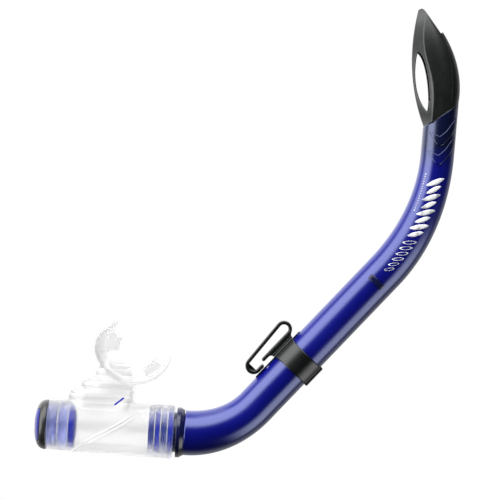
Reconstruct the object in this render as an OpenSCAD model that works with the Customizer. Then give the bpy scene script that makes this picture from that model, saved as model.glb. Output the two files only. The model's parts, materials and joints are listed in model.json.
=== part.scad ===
// Junior snorkel: a J-shaped tube with a splash-guard hood, a strap keeper and a silicone mouthpiece
// with a purge valve. The J lies in the XZ plane, and the origin is the middle of the strap slot.

/* [Tube] */
// Outside diameter of the straight middle of the tube
tube_d = 26; // [25:0.5:27]
// Outside diameter at the top, under the hood
top_d = 22.1; // [21.6:0.1:22.4]
// Outside diameter at the lower end
end_d = 29.5; // [29:0.1:30]
// Wall thickness of the tube
wall = 1.7; // [1.4:0.1:1.8]
// Slope of the straight above the horizontal, in degrees
slope = 46.2; // [40:0.1:52]
// Straight length above the keeper's rest place
run_up = 82; // [78:1:100]
// Straight length below the keeper's rest place
run_down = 40.5; // [39:0.5:50]
// Centreline radius of the upper bend
upper_r = 127; // [110:1:150]
// Centreline radius of the lower bend
lower_r = 58; // [54:1:70]
// Lean of the top of the tube from the vertical, in degrees
top_lean = 5; // [3:0.5:8]
// Fall of the tube's lower end below the horizontal, in degrees
end_fall = 3.5; // [0:0.5:6]
// Length from the upper bend to the middle of the slanted seam
top_len = 26.6; // [24:0.2:32]
// Slant of the seam under the hood, from the horizontal, in degrees
seam_slant = 33.5; // [30:0.5:36]

/* [Keeper] */
// Length of the keeper's band along the tube
band_len = 15; // [13:0.5:17]
// Thickness of the band and of the hook strip
strip_t = 2.3; // [2:0.1:2.5]
// Width of the hook strip across the tube
strip_w = 12; // [8:1:16]
// Length of the hook's outer strip between its two bends
hook_len = 31.4; // [28:0.2:33]
// Clearance between the band and the tube
band_fit = 0.1; // [0.08:0.01:0.1]

/* [Hood] */
// Wall thickness of the hood shells
hood_wall = 1.6; // [1.4:0.1:1.8]
// Half width of the hood at its side faces
hood_half_w = 12; // [11.6:0.1:12.6]

/* [Mouthpiece] */
// Barrel diameter at the tube end
barrel_d = 35.6; // [35:0.1:36.5]
// Barrel diameter at the purge end
barrel_purge_d = 32.2; // [32:0.1:33]
// Barrel length
barrel_len = 83.5; // [82:0.5:88]
// Inside radius of the arch of the lip flange
arch_r = 20.5; // [19:0.5:22]
// Height of the lip flange across the arch
lip_h = 22; // [18:1:26]
// Clearance of the barrel on the ringed spigot
barrel_fit = 0.1; // [0.08:0.01:0.1]

/* [Purge] */
// Outside diameter of the black bezel
bezel_d = 32.7; // [32.5:0.1:33]
// Diameter of the valve disc
valve_d = 20.4; // [19.6:0.2:20.8]
// Lift of the valve disc off its seat
valve_lift = 1.5; // [1:0.1:2]

/* [Hidden] */
$fn = 96;

// Places along the tube's centreline, as [x, z] in the plane of the J
slot_along = -6.5;
slot_out = 21.8;
along_dir = [cos(slope), sin(slope)];
out_dir = [-sin(slope), cos(slope)];
band_at = -slot_along * along_dir - slot_out * out_dir;
straight_top = band_at + run_up * along_dir;
straight_low = band_at - run_down * along_dir;
top_angle = 90 - top_lean;
end_at = bend_point(straight_low, slope, lower_r, -end_fall);
top_start = bend_point(straight_top, slope, upper_r, top_angle);
seam_at = top_start + top_len * [cos(top_angle), sin(top_angle)];

// Radii
tube_r = tube_d / 2;
top_r = top_d / 2;
end_r = end_d / 2;
bend_sides = 48;
bend_steps = 14;
joint_step = 0.2;
joint_lap = 1;
reach = 120;

// Guide rail under the keeper and stop bar above it, measured from the band's rest place
rail_from = -26.9;
rail_to = 14.9;
rail_w = 4;
rail_h = 0.6;
stop_at = 73.2;
stop_len = 4;
stop_half = 6.2;
stop_h = 1;
root_sink = 0.8;

// Keeper: heights above the tube's axis and bend radii of the strip's centreline
arm_out = 17.7;
arm_from = -14.7;
loop_at = 9;
loop_r = 4.2;
hook_tilt = 4;
curl_r = 4.35;
curl_tip_len = 3.7;
web_w = 3;
block_w = 14;
block_proud = 0.2;
groove_w = 6;
groove_play = 0.4;

// Hood outline beside the top of the tube, as [x, z] from the middle of the seam
seam_gap = 0.5;
seam_tilt = seam_slant + top_lean;
front_curve = [[-20.7, 68], [-25.2, 42.2], [-22, 15.4], [-10.8, -8.4]];
back_curve = [[10.8, 9.4], [12.5, 25.4], [6.3, 42.6], [-3.6, 54.9]];
tip_points = [[-5, 53.4], [-16.9, 68.4], [-18.6, 69.4]];
window_left = [[-19, 39.6], [-20.7, 28], [-18.4, 9.7], [-9.3, 1.2]];
window_right = [[-9.3, 1.2], [-6.4, 6.2], [-12.1, 38.6], [-19, 39.6]];
cover_line = [[-4.3, 56], [-1.6, 49.1], [3.2, 34], [5.2, 18], [5.4, -5], [30, -5], [30, 60]];
spine_half = 1.5;
crease_x = -7;
hood_z_top = 72;
hood_z_low = -12;
split_gap = 0.1;

// Barrel positions, measured along it from the tube's lower end, towards the purge
spigot_len = 24.6;
spigot_groove_r = 13.1;
spigot_ring_r = 13.85;
spigot_bore_r = 11.2;
flange_r = 16.5;
flange_t = 7.1;
barrel_from = 8.8;
purge_seat = barrel_from + barrel_len;
housing_r = 13.5;
housing_bore_r = 11.7;
housing_in = 74;
valve_gap = 0.35;
seat_back = 3.3;
seat_t = 2.4;

// Dome over the purge end: its depth, its roundness, its wall and the blue band across its front
dome_from = purge_seat + 0.1;
dome_r = bezel_d / 2;
dome_depth = 8.25;
dome_power = 2.3;
dome_wall = 1.6;
lip_len = 1.8;
lip_r = dome_r - 1.95;
band_z = 10.6;
band_from = 5;

// Middle of the lip arch and the direction of the mouth, from the tube's lower end
arch_x = -35.7;
arch_z = 54;
mouth_angle = 59.5;
arch_half_span = 106.5;
lip_t = 2.2;
tab_from = 50;
tab_to = 92;
tab_in_r = 12.5;
tab_t = 3;
lug_t = 2;
lug_h = 9;

// Point reached on a bend that starts at a point with one heading and turns to another
function bend_point(start, heading, radius, angle) =
    start + radius * [sin(angle) - sin(heading), cos(heading) - cos(angle)];

// Smooth step from 0 to 1
function ease(f) = f * f * (3 - 2 * f);

// Point on a cubic curve, and a run of points along it
function cubic(c, t) = pow(1 - t, 3) * c[0] + 3 * t * pow(1 - t, 2) * c[1]
    + 3 * t * t * (1 - t) * c[2] + pow(t, 3) * c[3];
function curve(c, steps) = [for (i = [0:steps]) cubic(c, i / steps)];

// Outline moved inwards by a distance; the outline runs clockwise as seen from -Y
function inset(points, distance) = let (n = len(points)) [for (i = [0:n - 1])
    let (ahead = points[(i + 1) % n], behind = points[(i + n - 1) % n],
         run = (ahead - behind) / norm(ahead - behind))
    points[i] + distance * [-run[1], run[0]]];

// Circle of points round the centreline, square to the heading
function ring(centre, heading, radius) = [for (j = [0:bend_sides - 1])
    let (q = 360 * j / bend_sides)
    [centre[0] - radius * cos(q) * sin(heading), radius * sin(q),
     centre[1] + radius * cos(q) * cos(heading)]];

// Box centred on the J's plane that reaches past every piece, from a height up
module half_space(from) {
    translate([-reach / 2, -reach / 2, from]) cube(reach);
}

// Frames: along the straight, at the top of the tube, and along the barrel
module on_straight(along = 0) {
    translate([band_at[0], 0, band_at[1]])
        rotate([0, -slope, 0])
            translate([along, 0, 0]) children();
}

module on_top() {
    translate([seam_at[0], 0, seam_at[1]])
        rotate([0, top_lean, 0]) children();
}

module on_barrel() {
    translate([end_at[0], 0, end_at[1]])
        rotate([0, end_fall, 0]) children();
}

// Cylinder or cone along X, from one place to another
module x_rod(from, to, r, r_to = undef) {
    translate([from, 0, 0])
        rotate([0, 90, 0])
            cylinder(r1 = r, r2 = is_undef(r_to) ? r : r_to, h = to - from);
}

// Flat shape drawn in [x, z], given a width across the J
module side_prism(width) {
    rotate([90, 0, 0])
        linear_extrude(width, center = true) children();
}

// Hollow bend with a changing radius; an end that joins a straight laps into its wall
module bend_shell(start, from_angle, to_angle, bend_r, r_from, r_to, free_start = false) {
    widen = 1 / cos(180 / bend_sides);
    function lap(i) = i == 0 && !free_start ? -joint_lap : i == bend_steps ? joint_lap : 0;
    function step(i) = lap(i) == 0 ? 0 : joint_step;
    function heading(i) = from_angle + (to_angle - from_angle) * i / bend_steps;
    function outer_r(i) = r_from + (r_to - r_from) * ease(i / bend_steps) - step(i);
    function centre(i) = bend_point(start, from_angle, bend_r, heading(i))
        + lap(i) * [cos(heading(i)), sin(heading(i))];
    outer = [for (i = [0:bend_steps]) each ring(centre(i), heading(i), outer_r(i))];
    inner = [for (i = [0:bend_steps])
        each ring(centre(i), heading(i), (outer_r(i) - wall + 2 * step(i)) * widen)];
    shift = len(outer);
    last = bend_steps * bend_sides;
    function at(i, j) = i * bend_sides + j % bend_sides;
    skins = [for (i = [0:bend_steps - 1], j = [0:bend_sides - 1])
        let (a = at(i, j), b = at(i, j + 1), c = at(i + 1, j + 1), d = at(i + 1, j))
        each [[a, b, c], [a, c, d], [shift + a, shift + c, shift + b],
              [shift + a, shift + d, shift + c]]];
    ends = [for (j = [0:bend_sides - 1])
        let (a = at(0, j), b = at(0, j + 1), c = last + b, d = last + a)
        each [[b, a, shift + a, shift + b], [d, c, shift + c, shift + d]]];
    polyhedron(concat(outer, inner), concat(skins, ends));
}

// J-shaped blue tube, one moulding
module tube() {
    color([0.1, 0.12, 0.6, 0.9])
    union() {
        bend_shell(end_at, -end_fall, slope, lower_r, end_r, tube_r, free_start = true);
        bend_shell(straight_top, slope, top_angle, upper_r, tube_r, top_r);
        on_straight() difference() {
            union() {
                x_rod(-run_down, run_up, tube_r);
                translate([rail_from, -rail_w / 2, tube_r - root_sink])
                    cube([rail_to - rail_from, rail_w, root_sink + rail_h]);
                stop_bar();
            }
            x_rod(-run_down - 1, run_up + 1, tube_r - wall);
        }
        difference() {
            on_top() difference() {
                translate([0, 0, -top_len]) cylinder(r = top_r, h = top_len + top_d);
                translate([0, 0, -top_len - 1]) cylinder(r = top_r - wall, h = top_len + 2 * top_d);
            }
            above_seam(0);
        }
    }
}

// Raised bar on the near side that stops the keeper
module stop_bar() {
    intersection() {
        x_rod(stop_at - stop_len / 2, stop_at + stop_len / 2, tube_r + stop_h);
        translate([stop_at - stop_len, -tube_d, -stop_half])
            cube([2 * stop_len, tube_d, 2 * stop_half]);
    }
}

// Everything above the slanted seam, raised by a gap
module above_seam(gap) {
    on_top() rotate([0, -seam_tilt, 0])
        half_space(gap);
}

// Navy flanged collar and ringed spigot, turned about the barrel's axis
module swivel_spigot() {
    sleeve_in = 4.5;
    sleeve_r = end_r - wall - 0.4;
    rings = [[8.6, 12.2], [13.4, 16.9], [18, 20.6]];
    tip_ring = 21.4;
    chamfer = 0.6;
    color([0.05, 0.06, 0.3])
    on_barrel() difference() {
        union() {
            x_rod(0, sleeve_in, sleeve_r);
            x_rod(-2, 0, end_r + 0.3, end_r);
            x_rod(-4.6, -2, flange_r - 0.3, end_r + 0.3);
            x_rod(-flange_t, -4.6, flange_r);
            x_rod(-spigot_len, -flange_t, spigot_groove_r);
            for (edge = rings) x_rod(-edge[1], -edge[0], spigot_ring_r);
            x_rod(-spigot_len + chamfer, -tip_ring, spigot_ring_r);
        }
        x_rod(-spigot_len - 1, sleeve_in + 1, spigot_bore_r);
    }
}

// Solid hood shape, moved inwards by a distance
module hood_form(distance) {
    side = concat(curve(front_curve, 12), curve(back_curve, 12), tip_points);
    half_w = hood_half_w - distance;
    intersection() {
        side_prism(40) polygon(inset(side, distance));
        translate([0, 0, hood_z_low])
            linear_extrude(hood_z_top - hood_z_low) union() {
                circle(r = half_w - 0.5);
                polygon([[-24.5 + distance, -spine_half], [crease_x, -half_w + 0.9], [0, -half_w + 0.6],
                         [0, half_w - 0.6], [crease_x, half_w - 0.9], [-24.5 + distance, spine_half]]);
                translate([1.2, 0]) circle(r = half_w - 0.4);
            }
        rotate([90, 0, 90])
            linear_extrude(60, center = true)
                polygon([[-half_w, hood_z_low], [half_w, hood_z_low], [half_w, 34], [half_w - 1.5, 46],
                         [half_w - 4.5, 58], [4 - distance, 69], [distance - 4, 69], [4.5 - half_w, 58],
                         [1.5 - half_w, 46], [-half_w, 34]]);
    }
}

// Both hood shells together, cut off above the seam
module hood_shell() {
    intersection() {
        on_top() difference() {
            hood_form(0);
            hood_form(hood_wall);
            below_seam_core();
        }
        above_seam(seam_gap);
    }
}

// Clears the hood's inside down to the seam
module below_seam_core() {
    translate([0, 0, hood_z_low - 1]) cylinder(r = top_r - wall, h = 22);
}

module cover_region(shift) {
    on_top() side_prism(60) translate([shift, 0]) polygon(cover_line);
}

// Black splash-guard frame with the tip and the see-through window
module hood_front() {
    color([0.2, 0.21, 0.21])
    difference() {
        hood_shell();
        cover_region(-split_gap);
        on_top() side_prism(60) polygon(concat(curve(window_left, 10), curve(window_right, 10)));
    }
}

// Black rear cover of the splash guard
module hood_cover() {
    color([0.17, 0.18, 0.18])
    intersection() {
        hood_shell();
        cover_region(0);
    }
}

// Inner deflector: a skirt in the tube's bore, a thin plate on the seam and a raised front scoop
module hood_baffle() {
    skirt_r = top_r - wall - 0.15;
    skirt_t = 1.3;
    skirt_low = -18;
    plate_r = top_r - 0.6;
    scoop_top = 9;
    color([0.05, 0.05, 0.05])
    difference() {
        union() {
            difference() {
                on_top() translate([0, 0, skirt_low]) cylinder(r = skirt_r, h = 40);
                above_seam(0.2);
            }
            intersection() {
                on_top() translate([0, 0, hood_z_low]) cylinder(r = plate_r, h = 30);
                above_seam(0.05);
                on_top() rotate([0, -seam_tilt, 0])
                    translate([-30, -30, 0]) cube([60, 60, seam_gap - 0.1]);
            }
            intersection() {
                on_top() translate([0, 0, hood_z_low])
                    cylinder(r = skirt_r - 0.3, h = scoop_top - hood_z_low);
                above_seam(0.1);
                on_top() translate([-30, -30, -30]) cube([27, 60, 60]);
            }
        }
        on_top() translate([0, 0, skirt_low - 1]) cylinder(r = skirt_r - skirt_t, h = 60);
    }
}

// Flat outline of the strap hook in [along, out] of the straight
module hook_outline() {
    half = strip_t / 2;
    lap = 0.2;
    loop_out = arm_out + loop_r;
    turn = [cos(hook_tilt), sin(hook_tilt)];
    strip_top = [loop_at, loop_out] + loop_r * [-turn[1], turn[0]];
    curl_at = strip_top - hook_len * turn - curl_r * [-turn[1], turn[0]];
    tip_out = curl_at[1] - curl_r;
    translate([arm_from, arm_out - half]) square([loop_at - arm_from + lap, strip_t]);
    translate([arm_from, arm_out]) circle(r = half);
    translate([loop_at, loop_out])
        strip_bend(loop_r, [[0, -20], [20, -20], [20, 20], [-20 * turn[1], 20 * turn[0]]]);
    translate(strip_top) rotate(hook_tilt)
        translate([-hook_len - lap, -half]) square([hook_len + 2 * lap, strip_t]);
    translate(curl_at)
        strip_bend(curl_r, [[-20 * turn[1], 20 * turn[0]], [-20, 20], [-20, -20], [0, -20]]);
    translate([curl_at[0] - lap, tip_out - half]) square([curl_tip_len + lap, strip_t]);
    translate([curl_at[0] + curl_tip_len, tip_out]) circle(r = half);
}

// Part of a ring on the strip's centreline, kept inside a wedge from its middle
module strip_bend(radius, wedge) {
    intersection() {
        difference() {
            circle(r = radius + strip_t / 2);
            circle(r = radius - strip_t / 2);
        }
        polygon(concat([[0, 0]], wedge));
    }
}

// Black snorkel keeper: band round the tube and open hook for the mask strap
module keeper() {
    band_r = tube_r + band_fit;
    outer_r = band_r + strip_t;
    curl_x = loop_at - hook_len * cos(hook_tilt);
    curl_z = arm_out + 2 * loop_r - hook_len * sin(hook_tilt) - curl_r;
    color([0.12, 0.12, 0.12])
    on_straight() difference() {
        union() {
            x_rod(-band_len / 2, band_len / 2, outer_r);
            translate([-band_len / 2, -block_w / 2, -outer_r - block_proud])
                cube([band_len, block_w, 5]);
            translate([-band_len / 2, -strip_w / 2, tube_r - 1])
                cube([band_len, strip_w, arm_out - tube_r + 1]);
            side_prism(strip_w) hook_outline();
            side_prism(web_w) translate([curl_x, curl_z]) intersection() {
                circle(r = curl_r);
                translate([-10, -10]) square([9, 20]);
            }
        }
        x_rod(-band_len, band_len, band_r);
        translate([-band_len, -groove_w / 2, 0])
            cube([2 * band_len, groove_w, tube_r + rail_h + groove_play]);
    }
}

// Oval disc square to a direction in the plane of the J, for the neck's hulls
module oval(x, z, tilt, half_across, half_y) {
    translate([x, 0, z])
        rotate([0, tilt, 0])
            scale([half_across, half_y, 1])
                cylinder(r = 1, h = 0.5, $fn = 32);
}

// Part of the arch between two radii and two angles off its middle, in [x, z]
module arch_sector(r_in, r_out, from, to) {
    steps = 6;
    reach = 2 * r_out;
    wedge = [for (i = [0:steps])
        let (q = mouth_angle + 180 + from + (to - from) * i / steps) reach * [cos(q), sin(q)]];
    intersection() {
        difference() {
            circle(r = r_out);
            circle(r = r_in);
        }
        polygon(concat([[0, 0]], wedge));
    }
}

// Clear silicone mouthpiece: barrel, neck, lip flange and two bite tabs
module mouthpiece() {
    grip_r = spigot_ring_r + barrel_fit;
    grip_len = 17;
    neck_x = -46.5;
    neck_z = 35.5;
    color([0.92, 0.93, 0.94, 0.5])
    on_barrel() difference() {
        union() {
            x_rod(-purge_seat, -barrel_from, barrel_purge_d / 2, barrel_d / 2);
            hull() {
                oval(-56.5, 9, 0, 20, 12.5);
                oval(-56.5, 18, 0, 19.5, 11.5);
                oval(neck_x, neck_z, 90 - mouth_angle, 13, 8.5);
            }
            translate([arch_x, 0, arch_z]) {
                side_prism(lip_h) arch_sector(arch_r, arch_r + lip_t, -arch_half_span, arch_half_span);
                for (side = [-1, 1]) {
                    side_prism(tab_t)
                        arch_sector(tab_in_r, arch_r + lip_t / 2, side > 0 ? tab_from : -tab_to,
                                    side > 0 ? tab_to : -tab_from);
                    side_prism(lug_h)
                        arch_sector(tab_in_r, tab_in_r + lug_t, side > 0 ? tab_from : -tab_to,
                                    side > 0 ? tab_to : -tab_from);
                }
            }
        }
        x_rod(-barrel_from - grip_len, -barrel_from + 1, grip_r);
        x_rod(-purge_seat - 1, -barrel_from - 1, housing_r + 0.05);
        hull() {
            oval(-56, 6, 0, 14.5, 8.5);
            oval(-56, 16, 0, 14.5, 8.5);
            oval(neck_x + 3, neck_z + 6, 90 - mouth_angle, 9, 6);
        }
    }
}

// Blue translucent purge housing with the spoked valve seat
module purge_housing() {
    seat_at = purge_seat - seat_back;
    seat_bore_r = 9.2;
    hub_r = 2.8;
    spoke_w = 1.6;
    pin_r = 1.15;
    grooves = [[76.5, 77.5], [80.5, 81.5], [84.5, 85.5]];
    groove_r = housing_r - 0.5;
    color([0.12, 0.16, 0.65, 0.8])
    on_barrel() difference() {
        union() {
            difference() {
                union() {
                    x_rod(-purge_seat, -housing_in, housing_r);
                    x_rod(-purge_seat - lip_len, -purge_seat, lip_r);
                }
                x_rod(-purge_seat - lip_len - 1, -housing_in + 1, housing_bore_r);
                for (edge = grooves) difference() {
                    x_rod(-edge[1], -edge[0], housing_r + 1);
                    x_rod(-edge[1] - 1, -edge[0] + 1, groove_r);
                }
            }
            difference() {
                x_rod(-seat_at, -seat_at + seat_t, housing_bore_r + 0.5);
                x_rod(-seat_at - 1, -seat_at + seat_t + 1, seat_bore_r);
            }
            x_rod(-seat_at, -seat_at + seat_t, hub_r);
            for (turn = [0, 90]) rotate([turn, 0, 0])
                translate([-seat_at, -seat_bore_r - 0.5, -spoke_w / 2])
                    cube([seat_t, 2 * seat_bore_r + 1, spoke_w]);
        }
        x_rod(-seat_at - 1, -seat_at + seat_t + 1, pin_r);
    }
}

// Thin silicone mushroom valve: disc, stem and barb
module purge_valve() {
    face = purge_seat - seat_back + valve_gap;
    disc_t = 0.8;
    stem_r = 0.85;
    barb_gap = valve_gap + valve_lift;
    barb_at = face - valve_gap - seat_t - barb_gap;
    color([0.85, 0.87, 0.9, 0.7])
    on_barrel() {
        x_rod(-face - disc_t, -face, valve_d / 2);
        x_rod(-face - 0.1, -barb_at + 0.1, stem_r);
        x_rod(-barb_at, -barb_at + 1.6, 1.05, 0.7);
    }
}

// Solid dome on the purge end, given its radius and depth
module dome(r, depth) {
    steps = 14;
    side = [for (i = [0:steps])
        let (q = 90 * i / steps)
        [r * pow(cos(q), 2 / dome_power), depth * pow(sin(q), 2 / dome_power)]];
    translate([-dome_from, 0, 0])
        rotate([0, -90, 0])
            rotate_extrude() polygon(concat([[0, 0]], side));
}

// Domed shell of the purge end, open at the rear
module dome_shell() {
    difference() {
        dome(dome_r, dome_depth);
        dome(lip_r + 0.05, dome_depth - dome_wall);
    }
}

// Band across the front of the dome, less a gap all round
module front_band(gap) {
    half_z = band_z - gap;
    translate([-dome_from - band_from - gap - 20, -dome_r - 1, -half_z])
        cube([20, 2 * dome_r + 2, 2 * half_z]);
}

// Black dome round the purge end, open across the front for the blue guard
module purge_bezel() {
    color([0.2, 0.2, 0.2])
    on_barrel() difference() {
        dome_shell();
        x_rod(-dome_from - lip_len - 0.1, -dome_from + 1, lip_r + 0.05);
        front_band(0);
    }
}

// Blue translucent slotted guard across the front of the dome, on two legs in the housing's bore
module purge_cover() {
    leg_r = housing_bore_r - 1.3;
    leg_t = 0.9;
    leg_half = 5;
    leg_back = 0.2;
    slots = 8;
    slot_w = 2.2;
    slot_from = 3.4;
    slot_to = 9;
    color([0.12, 0.16, 0.65, 0.8])
    on_barrel() {
        difference() {
            intersection() {
                dome_shell();
                front_band(0.1);
            }
            for (i = [0:slots - 1]) rotate([360 * (i + 0.5) / slots, 0, 0])
                translate([-dome_from - 12, -slot_w / 2, slot_from])
                    cube([12, slot_w, slot_to - slot_from]);
        }
        intersection() {
            difference() {
                x_rod(-dome_from - band_from - 0.9, -dome_from + leg_back, leg_r);
                x_rod(-dome_from - band_from - 2, -dome_from + leg_back + 1, leg_r - leg_t);
            }
            translate([-dome_from - 10, -dome_r, -leg_half])
                cube([20, 2 * dome_r, 2 * leg_half]);
        }
    }
}

tube();
swivel_spigot();
hood_front();
hood_cover();
hood_baffle();
keeper();
mouthpiece();
purge_housing();
purge_valve();
purge_bezel();
purge_cover();
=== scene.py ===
"""Looks of the junior snorkel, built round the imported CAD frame. Shapes are worked out in millimetres."""
import json
import math

import bpy
import numpy as np
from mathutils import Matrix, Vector


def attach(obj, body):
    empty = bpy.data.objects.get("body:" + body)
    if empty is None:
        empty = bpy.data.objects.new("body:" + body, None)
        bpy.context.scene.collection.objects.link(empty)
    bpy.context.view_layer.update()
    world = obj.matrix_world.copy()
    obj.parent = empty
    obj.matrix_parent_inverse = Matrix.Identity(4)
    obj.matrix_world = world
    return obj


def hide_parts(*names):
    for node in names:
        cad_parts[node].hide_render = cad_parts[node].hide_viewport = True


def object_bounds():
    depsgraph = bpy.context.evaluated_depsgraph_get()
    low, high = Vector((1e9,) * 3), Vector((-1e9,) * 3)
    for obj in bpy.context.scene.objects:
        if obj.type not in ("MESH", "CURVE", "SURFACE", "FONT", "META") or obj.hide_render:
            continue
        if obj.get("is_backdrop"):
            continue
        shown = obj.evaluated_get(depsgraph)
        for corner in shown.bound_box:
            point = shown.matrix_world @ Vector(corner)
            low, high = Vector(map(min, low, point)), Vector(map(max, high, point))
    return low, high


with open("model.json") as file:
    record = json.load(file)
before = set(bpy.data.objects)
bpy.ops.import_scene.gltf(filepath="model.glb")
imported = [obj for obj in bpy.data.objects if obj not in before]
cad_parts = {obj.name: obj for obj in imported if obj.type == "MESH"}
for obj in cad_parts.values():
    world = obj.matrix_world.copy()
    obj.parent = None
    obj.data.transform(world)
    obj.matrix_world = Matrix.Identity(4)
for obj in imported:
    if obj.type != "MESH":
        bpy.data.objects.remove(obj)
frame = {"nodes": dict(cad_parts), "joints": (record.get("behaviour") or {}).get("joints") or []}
cad_low, cad_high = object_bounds()
MM = 0.001

# Main dimensions of the tube, as in the CAD
LOWER_R, UPPER_R = 58, 127
RUN, TOP_LEN = 122.5, 26.6
TOP_HEADING = math.radians(85)
TUBE_R, TOP_R, END_R, WALL = 13, 11.05, 14.75, 1.7
SEAM_SLOPE = math.tan(math.radians(38.5))
BAND_ALONG, BAND_OUT = 6.5, -21.8
SIDES = 112


class Place:
    """A frame in the plane of the J: local x runs along a heading and z square to it, y is the row's."""

    def __init__(self, at, heading):
        self.at = np.array(at, float)
        self.along = np.array([math.cos(heading), math.sin(heading)])
        self.out = np.array([-math.sin(heading), math.cos(heading)])

    def row(self, points):
        p = np.asarray(points, float)
        flat = self.at + p[:, :1] * self.along + p[:, 2:] * self.out
        return np.column_stack([flat[:, 0], p[:, 1], flat[:, 1]])


def smooth_step(f):
    f = np.clip(f, 0, 1)
    return f * f * (3 - 2 * f)


def bend_point(start, heading, radius, angle):
    return np.array([start[0] + radius * (math.sin(angle) - math.sin(heading)),
                     start[1] + radius * (math.cos(heading) - math.cos(angle))])


joints = {j["name"]: j for j in frame["joints"]}
slide_axis = joints["keeper_slide"]["axis"]
swivel = joints["mouthpiece_swivel"]
SLOPE = math.atan2(slide_axis[2], slide_axis[0])
FALL = math.atan2(-swivel["axis"][2], -swivel["axis"][0])
tube_end = np.array([swivel["pos_m"][0], swivel["pos_m"][2]]) / MM
straight_low = bend_point(tube_end, FALL, LOWER_R, SLOPE)
slide_dir = np.array([math.cos(SLOPE), math.sin(SLOPE)])
slide_out = np.array([-math.sin(SLOPE), math.cos(SLOPE)])
straight_top = straight_low + RUN * slide_dir
top_start = bend_point(straight_top, SLOPE, UPPER_R, TOP_HEADING)
seam_at = top_start + TOP_LEN * np.array([math.cos(TOP_HEADING), math.sin(TOP_HEADING)])
BARREL = Place(tube_end, FALL)
KEEPER = Place(BAND_ALONG * slide_dir + BAND_OUT * slide_out, SLOPE)
TOP = Place(seam_at, TOP_HEADING - math.pi / 2)
LOW_ARC = LOWER_R * (SLOPE - FALL)
HIGH_ARC = UPPER_R * (TOP_HEADING - SLOPE)
BEND_AT = LOW_ARC + RUN
TOP_AT = BEND_AT + HIGH_ARC


def on_path(s):
    """Centre, heading and outside radius of the tube at a distance along it from its lower end."""
    if s < LOW_ARC:
        angle = FALL + s / LOWER_R
        radius = END_R + (TUBE_R - END_R) * smooth_step(s / LOW_ARC)
        return bend_point(tube_end, FALL, LOWER_R, angle), angle, radius
    if s < BEND_AT:
        return straight_low + (s - LOW_ARC) * slide_dir, SLOPE, TUBE_R
    if s < TOP_AT:
        angle = SLOPE + (s - BEND_AT) / UPPER_R
        radius = TUBE_R + (TOP_R - TUBE_R) * smooth_step((s - BEND_AT) / HIGH_ARC)
        return bend_point(straight_top, SLOPE, UPPER_R, angle), angle, radius
    heading = np.array([math.cos(TOP_HEADING), math.sin(TOP_HEADING)])
    return top_start + (s - TOP_AT) * heading, TOP_HEADING, TOP_R


def skin(s, turn, lift=0.0, radius=None):
    """Point on the tube's surface: turn 0 is the outer edge of the J and 90 degrees the near side."""
    centre, heading, r = on_path(s)
    r = (r if radius is None else radius) + lift
    across = r * math.cos(turn)
    return [centre[0] - across * math.sin(heading), -r * math.sin(turn),
            centre[1] + across * math.cos(heading)]


# Materials

def new_material(name):
    material = bpy.data.materials.new(name)
    material.use_nodes = True
    tree = material.node_tree
    return material, tree, tree.nodes["Principled BSDF"]


def add(tree, kind, **values):
    node = tree.nodes.new(kind)
    for key, value in values.items():
        if key in node.inputs:
            node.inputs[key].default_value = value
        else:
            setattr(node, key, value)
    return node


def object_place(tree, stretch=(1, 1, 1)):
    coords = add(tree, "ShaderNodeTexCoord")
    mapping = add(tree, "ShaderNodeMapping")
    mapping.inputs["Scale"].default_value = stretch
    tree.links.new(coords.outputs["Object"], mapping.inputs["Vector"])
    return mapping.outputs["Vector"]


def noise(tree, vector, scale, detail=3.0, rough=0.5):
    node = add(tree, "ShaderNodeTexNoise", Scale=scale, Detail=detail, Roughness=rough)
    tree.links.new(vector, node.inputs["Vector"])
    return node.outputs["Fac"]


def ramp(tree, factor, stops):
    node = add(tree, "ShaderNodeValToRGB")
    bar = node.color_ramp
    while len(bar.elements) < len(stops):
        bar.elements.new(0.5)
    for element, (place, colour) in zip(bar.elements, stops):
        element.position = place
        element.color = (*colour, 1)
    tree.links.new(factor, node.inputs["Fac"])
    return node.outputs["Color"]


def spread(tree, factor, low, high, centre=(0.35, 0.65)):
    node = add(tree, "ShaderNodeMapRange")
    for key, value in (("From Min", centre[0]), ("From Max", centre[1]), ("To Min", low), ("To Max", high)):
        node.inputs[key].default_value = value
    tree.links.new(factor, node.inputs["Value"])
    return node.outputs["Result"]


def bump(tree, shader, height, strength, distance):
    node = add(tree, "ShaderNodeBump", Strength=strength, Distance=distance)
    tree.links.new(height, node.inputs["Height"])
    tree.links.new(node.outputs["Normal"], shader.inputs["Normal"])


def plastic(name, dark, light, rough, grain=900.0, grain_depth=0.00003, specular=0.5, coat=0.0, mottle=60.0):
    """Moulded plastic: faint flow mottle in its colour, uneven gloss and a fine moulded grain."""
    material, tree, shader = new_material(name)
    vector = object_place(tree)
    tree.links.new(ramp(tree, noise(tree, vector, mottle, 4), [(0.3, dark), (0.7, light)]),
                   shader.inputs["Base Color"])
    tree.links.new(spread(tree, noise(tree, vector, 220), *rough), shader.inputs["Roughness"])
    shader.inputs["Specular IOR Level"].default_value = specular
    shader.inputs["Coat Weight"].default_value = coat
    shader.inputs["Coat Roughness"].default_value = 0.06
    bump(tree, shader, noise(tree, vector, grain, 2), 0.35, grain_depth)
    return material


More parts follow.
